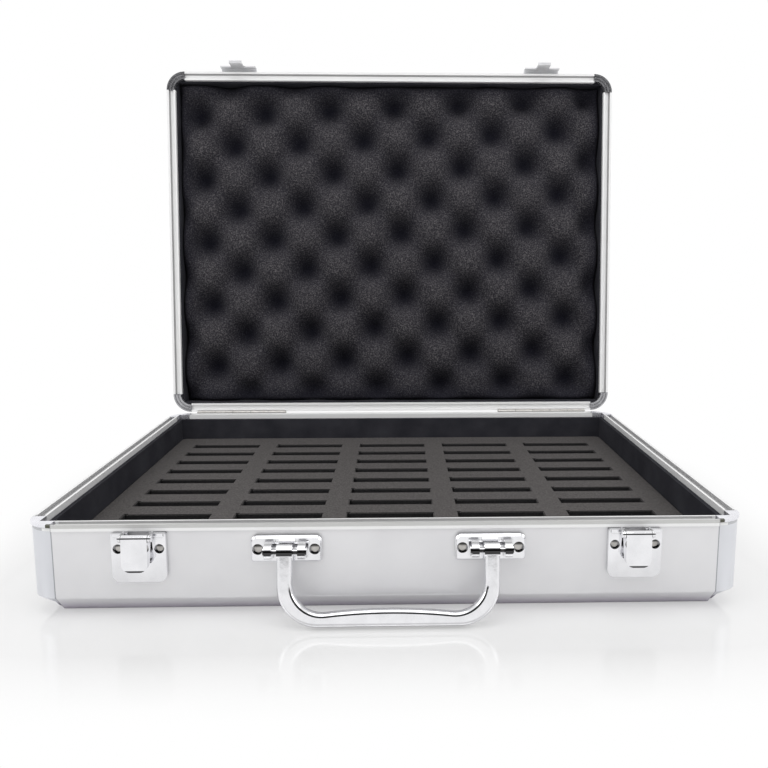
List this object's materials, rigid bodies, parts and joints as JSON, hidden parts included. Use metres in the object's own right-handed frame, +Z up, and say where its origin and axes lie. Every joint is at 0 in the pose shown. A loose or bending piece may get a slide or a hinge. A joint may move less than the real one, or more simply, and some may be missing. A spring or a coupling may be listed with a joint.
{
  "type": "stone sample box",
  "caption": "low aluminium case with a slotted foam tray for stone tiles, a foam-lined lid on rear hinges, toggle latches and a drop handle in front",
  "frame": {"origin": "middle of the base's bottom face, which stands on the table", "axes": "+X to the right seen from the front, +Y towards the hinges, +Z up"},
  "size_m": [0.4, 0.3851, 0.3649],
  "materials": {
    "shell_aluminium": "satin anodised",
    "corner_casting": "satin grey",
    "bright_plate": "bright plated",
    "rivets": "plated",
    "pins": "plated",
    "hinge_steel": "plated",
    "panel": "satin",
    "lining": "black board",
    "underlay": "black foam",
    "tray_foam": "matt foam",
    "lid_foam": "matt foam"
  },
  "bodies": {
    "base": {"base_front_lining": "lining", "base_front_wall": "shell_aluminium", "base_left_lining": "lining", "base_left_wall": "shell_aluminium", "base_post_front_left": "shell_aluminium", "base_post_front_right": "shell_aluminium", "base_post_rear_left": "shell_aluminium", "base_post_rear_right": "shell_aluminium", "base_rear_lining": "lining", "base_rear_wall": "shell_aluminium", "base_right_lining": "lining", "base_right_wall": "shell_aluminium", "base_rim_corner_front_left": "corner_casting", "base_rim_corner_front_right": "corner_casting", "base_rim_corner_rear_left": "corner_casting", "base_rim_corner_rear_right": "corner_casting", "bottom_panel": "panel", "handle_bracket_left": "bright_plate", "handle_bracket_right": "bright_plate", "handle_pins": "pins", "handle_rivets": "rivets", "hinge_base_leaf_left": "hinge_steel", "hinge_base_leaf_right": "hinge_steel", "hinge_base_rivets": "rivets", "hinge_pin_left": "pins", "hinge_pin_right": "pins", "latch_plate_left": "bright_plate", "latch_plate_right": "bright_plate", "latch_rivets": "rivets", "lever_pins": "pins", "slotted_tray": "tray_foam", "tray_underlay": "underlay"},
    "lid": {"egg_crate_foam": "lid_foam", "hinge_lid_leaf_left": "hinge_steel", "hinge_lid_leaf_right": "hinge_steel", "hinge_lid_rivets": "rivets", "keeper_left": "bright_plate", "keeper_right": "bright_plate", "keeper_rivets": "rivets", "lid_front_lining": "lining", "lid_front_wall": "shell_aluminium", "lid_left_lining": "lining", "lid_left_wall": "shell_aluminium", "lid_panel": "panel", "lid_post_front_left": "shell_aluminium", "lid_post_front_right": "shell_aluminium", "lid_post_rear_left": "shell_aluminium", "lid_post_rear_right": "shell_aluminium", "lid_rear_lining": "lining", "lid_rear_wall": "shell_aluminium", "lid_right_lining": "lining", "lid_right_wall": "shell_aluminium", "lid_rim_corner_front_left": "corner_casting", "lid_rim_corner_front_right": "corner_casting", "lid_rim_corner_rear_left": "corner_casting", "lid_rim_corner_rear_right": "corner_casting"},
    "handle": {"handle_bail": "bright_plate"},
    "lever_left": {"latch_lever_left": "bright_plate"},
    "lever_right": {"latch_lever_right": "bright_plate"}
  },
  "joints": [
    {"name": "lid_hinge", "type": "hinge", "parent": "base", "child": "lid", "pos_m": [0, 0.1534, 0.05365], "axis": [1, 0, 0], "range_deg": [0, 95]},
    {"name": "handle_pivot", "type": "hinge", "parent": "base", "child": "handle", "pos_m": [0, -0.1607, 0.0403], "axis": [-1, 0, 0], "range_deg": [-20, 80]},
    {"name": "left_lever_pivot", "type": "hinge", "parent": "base", "child": "lever_left", "pos_m": [-0.136, -0.1605, 0.0482], "axis": [-1, 0, 0], "range_deg": [-14, 80]},
    {"name": "right_lever_pivot", "type": "hinge", "parent": "base", "child": "lever_right", "pos_m": [0.136, -0.1605, 0.0482], "axis": [-1, 0, 0], "range_deg": [-14, 80]}
  ]
}
